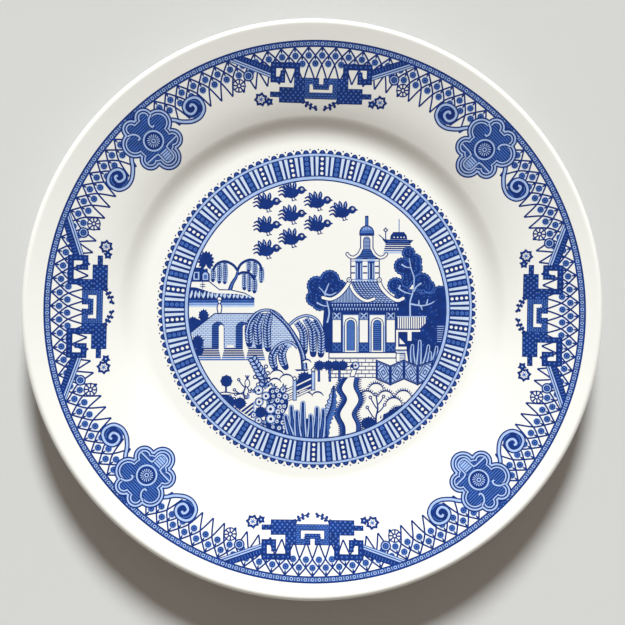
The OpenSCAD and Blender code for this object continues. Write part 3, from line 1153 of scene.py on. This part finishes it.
def landscape():
    sheet = Drawing()
    d = sheet.inside(disc(0, LAND_R, 180)).at(-0.7 + 0.3j, 0, 0.991)
    flock(d)
    boat(d)
    grove(d)
    spire(d.at(PAGODA_X))
    storey(d)
    small_roof(d.at(PAGODA_X))
    hall(d)
    main_roof(d)
    shed(d)
    agave(d, 3.5, (45 - 27j, 44.2 - 17.2j, -0.6), (49.4 - 27.2j, 51.6 - 17.4j, 0.5),
          (46.9 - 27.6j, 47.6 - 15.2j, 0.2), (53.4 - 26.4j, 55.4 - 18j, 0.4), (51.2 - 27j, 52.4 - 20.4j, 0.3))
    folding_fence(d)
    island(d)
    bridge(d)
    great_willow(d)
    near_rocks(d)
    path(d)
    bank_bushes(d)
    serrated_leaf(d)
    garden(d)
    d.poly(DARK, -15.6, -60, -13.8, -53.5, -8, -50, 2.4, -51, 4, -60)
    agave(d, 4.2, (-9.4 - 61j, -11.4 - 45.2j, -0.6), (1.6 - 61j, 3.2 - 46.6j, 0.5),
          (-0.8 - 61j, 0.3 - 45.8j, 0.3), (-5.8 - 61j, -6.1 - 43.4j, -0.3), (-10.8 - 60j, -14 - 49.4j, -0.4),
          (-7.8 - 61j, -8.9 - 47.4j, -0.5), (-3 - 61j, -2.6 - 49.2j, 0.4))
    return sheet


# ---------------------------------------------------------------- the plate's shape

def corner(node, which):
    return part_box(node)[which] / MM


# The same section as the CAD's: the sizes that the frame gives come from it, and the rest repeat its own.
PLATE_R, PLATE_H = corner("glaze_coat", 1).x, corner("glaze_coat", 1).z
FLOOR_Z = corner("medallion_transfer", 0).z
GLAZE_T, LIP_R = 0.25, 2.1
GLAZE_LINE, FOOT_H = corner("foot_recess_glaze", 0).z, corner("foot_recess_glaze", 1).z - GLAZE_T
WELL_R, VERGE = 77.5, 90.5 + 12j
FOOT_R, FOOT_W, FOOT_ROUND, FOOT_FILLET = 80, 3.6, 0.7, 1.2
VERGE_SLOPE, LIP_SLOPE, BACK_SLOPE = 21.7, 13.5, 18
LIP_CENTRE = complex(PLATE_R - LIP_R, PLATE_H - LIP_R)

# Points along each curve of the face and of the back, and round every turned piece.
FACE_STEPS, BACK_STEPS, TURNS = 64, 32, 360
# Edges that turn by more than this many degrees look sharp.
SHARP = 50


def face_path():
    """The face, from the middle of the well out to the lip, as radius + height j."""
    well = complex(WELL_R, FLOOR_Z)
    lip = LIP_CENTRE + polar(LIP_R, 90 + LIP_SLOPE)
    cavetto = bezier(well, well + 6.5, VERGE - polar(3.9, VERGE_SLOPE), VERGE, FACE_STEPS)
    flange = bezier(VERGE, VERGE + polar(11, VERGE_SLOPE), lip - polar(26, LIP_SLOPE), lip, FACE_STEPS)
    return [complex(r, FLOOR_Z) for r in (0, 20, 40, 60, 70)] + cavetto + flange[1:]


def coat_path():
    """The whole glazed outside: the face, the lip, and the back in to the foot's glaze line."""
    under = LIP_CENTRE + polar(LIP_R, LIP_SLOPE - 90)
    behind = VERGE + 3 - 3.9j
    foot = complex(FOOT_R + GLAZE_T, GLAZE_LINE)
    lip = arc(LIP_CENTRE, LIP_R, 90 + LIP_SLOPE, LIP_SLOPE - 90, BACK_STEPS)
    flange = bezier(under, under - polar(12, LIP_SLOPE), behind + polar(12, BACK_SLOPE), behind, BACK_STEPS)
    cavetto = bezier(behind, behind - polar(6, BACK_SLOPE), foot + 2.3j, foot, BACK_STEPS)
    return face_path() + lip[1:-1] + flange + cavetto[1:]


def recess_path():
    wall = FOOT_R - FOOT_W - GLAZE_T
    top = arc(complex(wall - FOOT_FILLET, FOOT_H - FOOT_FILLET), FOOT_FILLET, 0, 90, 10)
    return [complex(wall, GLAZE_LINE)] + top + [complex(r, FOOT_H) for r in (60, 40, 20, 0)]


def foot_path():
    outer = arc(complex(FOOT_R - FOOT_ROUND, FOOT_ROUND), FOOT_ROUND, 0, -90, 8)
    inner = arc(complex(FOOT_R - FOOT_W + FOOT_ROUND, FOOT_ROUND), FOOT_ROUND, -90, -180, 8)
    return outer + inner


def moved_in(path, distance):
    """The path moved to the right of its travel, which is into the clay. Its ends on the axis stay there."""
    moved = []
    for i, p in enumerate(path):
        along = path[min(i + 1, len(path) - 1)] - path[max(i - 1, 0)]
        q = p - 1j * along / abs(along) * distance
        moved.append(complex(0, q.imag) if p.real == 0 else q)
    return moved


def lathe(name, section, material, node):
    """A closed section turned round the plate's axis. A point on the axis becomes one vertex."""
    bm = bmesh.new()
    rings = []
    for p in section:
        if p.real < 1e-6:
            rings.append([bm.verts.new((0, 0, p.imag * MM))] * TURNS)
        else:
            around = (polar(p.real, 360 * k / TURNS) for k in range(TURNS))
            rings.append([bm.verts.new((q.real * MM, q.imag * MM, p.imag * MM)) for q in around])
    for a, b in zip(rings, rings[1:] + rings[:1]):
        for k in range(TURNS):
            after = (k + 1) % TURNS
            quad = list(dict.fromkeys((a[k], a[after], b[after], b[k])))
            if len(quad) > 2:
                bm.faces.new(quad)
    bmesh.ops.recalc_face_normals(bm, faces=bm.faces)
    mesh = bpy.data.meshes.new(name)
    bm.to_mesh(mesh)
    bm.free()
    mesh.shade_smooth()
    mesh.set_sharp_from_angle(angle=math.radians(SHARP))
    return add_piece(name, mesh, [material], node)


def add_piece(name, mesh, materials, node):
    piece = bpy.data.objects.new(name, mesh)
    bpy.context.scene.collection.objects.link(piece)
    for material in materials:
        mesh.materials.append(material)
    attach(piece, "root")
    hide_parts(node)
    return piece


# ---------------------------------------------------------------- ink on the plate

# How far the ink stands above the glaze and reaches down into it.
INK_PROUD, INK_SUNK = 0.03, 0.02
# Points closer than WELD become one, and a triangle thinner than SLIVER goes.
WELD, SLIVER = 2e-4, 1e-5


def face_at(points):
    """Heights and slopes of the face under flat points."""
    path = face_path()
    rs, zs = np.array([p.real for p in path]), np.array([p.imag for p in path])
    r = np.abs(points)
    return np.interp(r, rs, zs), np.interp(r, rs, np.gradient(zs, rs))


def repeated(points, inked, places):
    """Copies of a drawing side by side. A place is (degrees, mirrored)."""
    all_points, all_inked = [], []
    for degrees, mirrored in places:
        base = len(all_points)
        all_points += [polar(1, degrees) * (-p.conjugate() if mirrored else p) for p in points]
        for corners, tone in inked:
            order = reversed(corners) if mirrored else corners
            all_inked.append(([base + c for c in order], tone))
    return all_points, all_inked


def welded(points, inked):
    """The same drawing with the points that copies share made one."""
    bm = bmesh.new()
    verts = [bm.verts.new((p.real, p.imag, 0)) for p in points]
    for corners, tone in inked:
        bm.faces.new([verts[c] for c in corners]).material_index = tone
    bmesh.ops.remove_doubles(bm, verts=bm.verts, dist=WELD)
    bmesh.ops.dissolve_degenerate(bm, edges=bm.edges, dist=SLIVER)
    bm.verts.ensure_lookup_table()
    bm.verts.index_update()
    points = np.array([complex(v.co.x, v.co.y) for v in bm.verts])
    faces = [([v.index for v in f.verts], f.material_index) for f in bm.faces]
    bm.free()
    return points, faces


def print_film(name, drawing, shift, node):
    """A closed film of ink that lies on the face: top, underside, and a wall along every edge."""
    points, faces = welded(*drawing)
    points = points + shift
    height, slope = face_at(points)
    outward = points / np.maximum(np.abs(points), 1e-9)
    tilt = np.sqrt(1 + slope ** 2)
    normal = np.stack([-outward.real * slope / tilt, -outward.imag * slope / tilt, 1 / tilt], axis=1)
    on_face = np.stack([points.real, points.imag, height], axis=1)
    n = len(points)
    corners = np.concatenate([on_face + INK_PROUD * normal, on_face - INK_SUNK * normal]) * MM
    solid = []
    owner = {}
    for ring, tone in faces:
        for a, b in zip(ring, ring[1:] + ring[:1]):
            owner[(a, b)] = tone
        solid.append((ring, tone, True))
        solid.append(([c + n for c in reversed(ring)], tone, False))
    for (a, b), tone in owner.items():
        if (b, a) not in owner:
            solid.append(([b, a, a + n, b + n], tone, False))
    mesh = bpy.data.meshes.new(name)
    mesh.from_pydata(corners.tolist(), [], [ring for ring, _, _ in solid])
    mesh.polygons.foreach_set("material_index", [tone for _, tone, _ in solid])
    mesh.update()
    normals = np.zeros((len(mesh.loops), 3))
    i = 0
    for polygon, (ring, _, is_top) in zip(mesh.polygons, solid):
        normals[i:i + len(ring)] = normal[ring] if is_top else polygon.normal[:]
        i += len(ring)
    mesh.shade_smooth()
    mesh.normals_split_custom_set(normals.tolist())
    return add_piece(name, mesh, INKS, node)


# ---------------------------------------------------------------- materials

def material(name):
    made = bpy.data.materials.new(name)
    made.use_nodes = True
    nodes = made.node_tree.nodes
    return made, nodes, made.node_tree.links.new, nodes["Principled BSDF"]


def noise(nodes, link, scale, detail=3):
    """Noise of a scale in cycles per metre, fixed to the object."""
    place = nodes.new("ShaderNodeTexCoord")
    texture = nodes.new("ShaderNodeTexNoise")
    texture.inputs["Scale"].default_value = scale
    texture.inputs["Detail"].default_value = detail
    link(place.outputs["Object"], texture.inputs["Vector"])
    return texture.outputs["Fac"]


def ramp(nodes, link, factor, *stops):
    """A colour ramp. A stop is (position, colour)."""
    made = nodes.new("ShaderNodeValToRGB")
    elements = made.color_ramp.elements
    while len(elements) < len(stops):
        elements.new(0.5)
    for element, (position, colour) in zip(elements, stops):
        element.position = position
        element.color = (*colour, 1)
    link(factor, made.inputs["Fac"])
    return made.outputs["Color"]


def relief(nodes, link, height, shader, depth):
    bump = nodes.new("ShaderNodeBump")
    bump.inputs["Distance"].default_value = depth
    link(height, bump.inputs["Height"])
    link(bump.outputs["Normal"], shader.inputs["Normal"])


def tinted(colour, factor):
    return tuple(min(1.0, c * factor) for c in colour)


def glazed(name, colour, spread, scale, gloss):
    """A fired surface whose tone drifts by the spread, under a coat of glaze as strong as the gloss."""
    made, nodes, link, shader = material(name)
    drift = noise(nodes, link, scale)
    tone = ramp(nodes, link, drift, (0.3, tinted(colour, 1 - spread)), (0.7, tinted(colour, 1 + spread)))
    link(tone, shader.inputs["Base Color"])
    rough = nodes.new("ShaderNodeMapRange")
    rough.inputs["To Min"].default_value = 0.18
    rough.inputs["To Max"].default_value = 0.28
    link(noise(nodes, link, 900), rough.inputs["Value"])
    link(rough.outputs["Result"], shader.inputs["Roughness"])
    shader.inputs["IOR"].default_value = 1.5
    shader.inputs["Coat Weight"].default_value = gloss
    shader.inputs["Coat Roughness"].default_value = 0.06
    relief(nodes, link, noise(nodes, link, 260, 1), shader, 0.02 * MM)
    return made


def bare_clay():
    """The unglazed foot: matt, sandy, and rubbed a little grey where it stands."""
    made, nodes, link, shader = material("bare_clay")
    grains = noise(nodes, link, 1400, 6)
    tone = ramp(nodes, link, grains, (0.3, (0.56, 0.51, 0.43)), (0.7, (0.78, 0.74, 0.66)))
    link(tone, shader.inputs["Base Color"])
    shader.inputs["Roughness"].default_value = 0.85
    relief(nodes, link, noise(nodes, link, 2200, 6), shader, 0.12 * MM)
    return made


def floor_material():
    made, nodes, link, shader = material("pale_floor")
    tone = ramp(nodes, link, noise(nodes, link, 3), (0.2, (0.60, 0.60, 0.59)), (0.8, (0.63, 0.63, 0.62)))
    link(tone, shader.inputs["Base Color"])
    shader.inputs["Roughness"].default_value = 0.9
    return made


CHINA = glazed("china_glaze", (0.90, 0.90, 0.855), 0.012, 14, 0.6)
INKS = [
    glazed("ink_dark", (0.0, 0.027, 0.19), 0.2, 300, 0.15),
    glazed("ink_mid", (0.055, 0.15, 0.47), 0.14, 300, 0.15),
    glazed("ink_pale", (0.40, 0.54, 0.83), 0.07, 300, 0.2),
    glazed("ink_faint", (0.60, 0.71, 0.87), 0.05, 300, 0.3),
]

# ---------------------------------------------------------------- build

coat = coat_path()
recess = recess_path()
under_coat = moved_in(coat, GLAZE_T)
under_recess = moved_in(recess, GLAZE_T)
lathe("plate_glaze_coat", coat + under_coat[::-1], CHINA, "glaze_coat")
lathe("plate_foot_recess_glaze", recess + under_recess[::-1], CHINA, "foot_recess_glaze")
lathe("plate_clay_body", under_coat + foot_path() + under_recess, bare_clay(), "biscuit_body")

# Where the two prints were laid, off the plate's axis, and how far the border is turned.
BORDER_SHIFT, BORDER_TURN = 1 - 0.9j, -1.1
MEDALLION_SHIFT, MEDALLION_SIZE, MEDALLION_TURN = 2.1 + 0.3j, 1.03, -1.7

half = border_half().sheets()
for name, degrees in (("east", -90), ("north", 0), ("west", 90), ("south", 180)):
    turned = degrees + BORDER_TURN
    print_film(f"ink_border_{name}", repeated(*half, [(turned, False), (turned, True)]), BORDER_SHIFT,
               f"border_transfer_{name}")

wedge_points, wedge_inked = medallion_wedge().sheets()
wedge_points = [p * MEDALLION_SIZE for p in wedge_points]
places = [(2 * BAR_STEP * i + MEDALLION_TURN, False) for i in range(WEDGES)]
print_film("ink_medallion_band", repeated(wedge_points, wedge_inked, places), MEDALLION_SHIFT,
           "medallion_transfer")

land_points, land_inked = landscape().sheets()
land_points = [p * MEDALLION_SIZE for p in land_points]
print_film("ink_landscape", (land_points, land_inked), MEDALLION_SHIFT, "medallion_transfer")

# ---------------------------------------------------------------- floor, light and camera

FLOOR_SIZE = 6
bpy.ops.mesh.primitive_plane_add(size=FLOOR_SIZE)
floor = bpy.context.object
floor.name = "pale_floor"
floor.data.materials.append(floor_material())

# The key light comes in from the top of the picture, and the warm room fills its shade.
KEY_ELEVATION, KEY_SPREAD, KEY_STRENGTH, KEY_COLOUR = 34, 14, 4.9, (0.95, 0.99, 1)
ROOM_STRENGTH, ROOM_COLOUR = 0.255, (1, 0.86, 0.74, 1)
sun = bpy.data.lights.new("key", "SUN")
sun.energy = KEY_STRENGTH
sun.angle = math.radians(KEY_SPREAD)
sun.color = KEY_COLOUR
key = bpy.data.objects.new("key", sun)
key.rotation_euler = (math.radians(KEY_ELEVATION - 90), 0, 0)
bpy.context.scene.collection.objects.link(key)

world = bpy.data.worlds.new("soft_room")
bpy.context.scene.world = world
world.use_nodes = True
room = world.node_tree.nodes["Background"]
room.inputs["Color"].default_value = ROOM_COLOUR
room.inputs["Strength"].default_value = ROOM_STRENGTH
bpy.context.scene.view_settings.view_transform = "Standard"

# The camera looks almost straight down, from a little to the left of and below the plate's middle.
# The frame is square, and at the rim's height it is FRAME_W across.
FRAME_W, DISTANCE, SENSOR = 285.7, 750, 36
AIM = Vector((-1.4, -1.6, PLATE_H))
eye = AIM + Vector((-49, -9.5, DISTANCE))
lens = bpy.data.cameras.new("camera")
lens.sensor_width = SENSOR
lens.lens = SENSOR * (eye - AIM).length / FRAME_W
camera = bpy.data.objects.new("camera", lens)
camera.location = eye * MM
back = (eye - AIM).normalized()
right = Vector((0, 1, 0)).cross(back).normalized()
camera.rotation_euler = Matrix((right, back.cross(right), back)).transposed().to_euler()
bpy.context.scene.collection.objects.link(camera)
bpy.context.scene.camera = camera
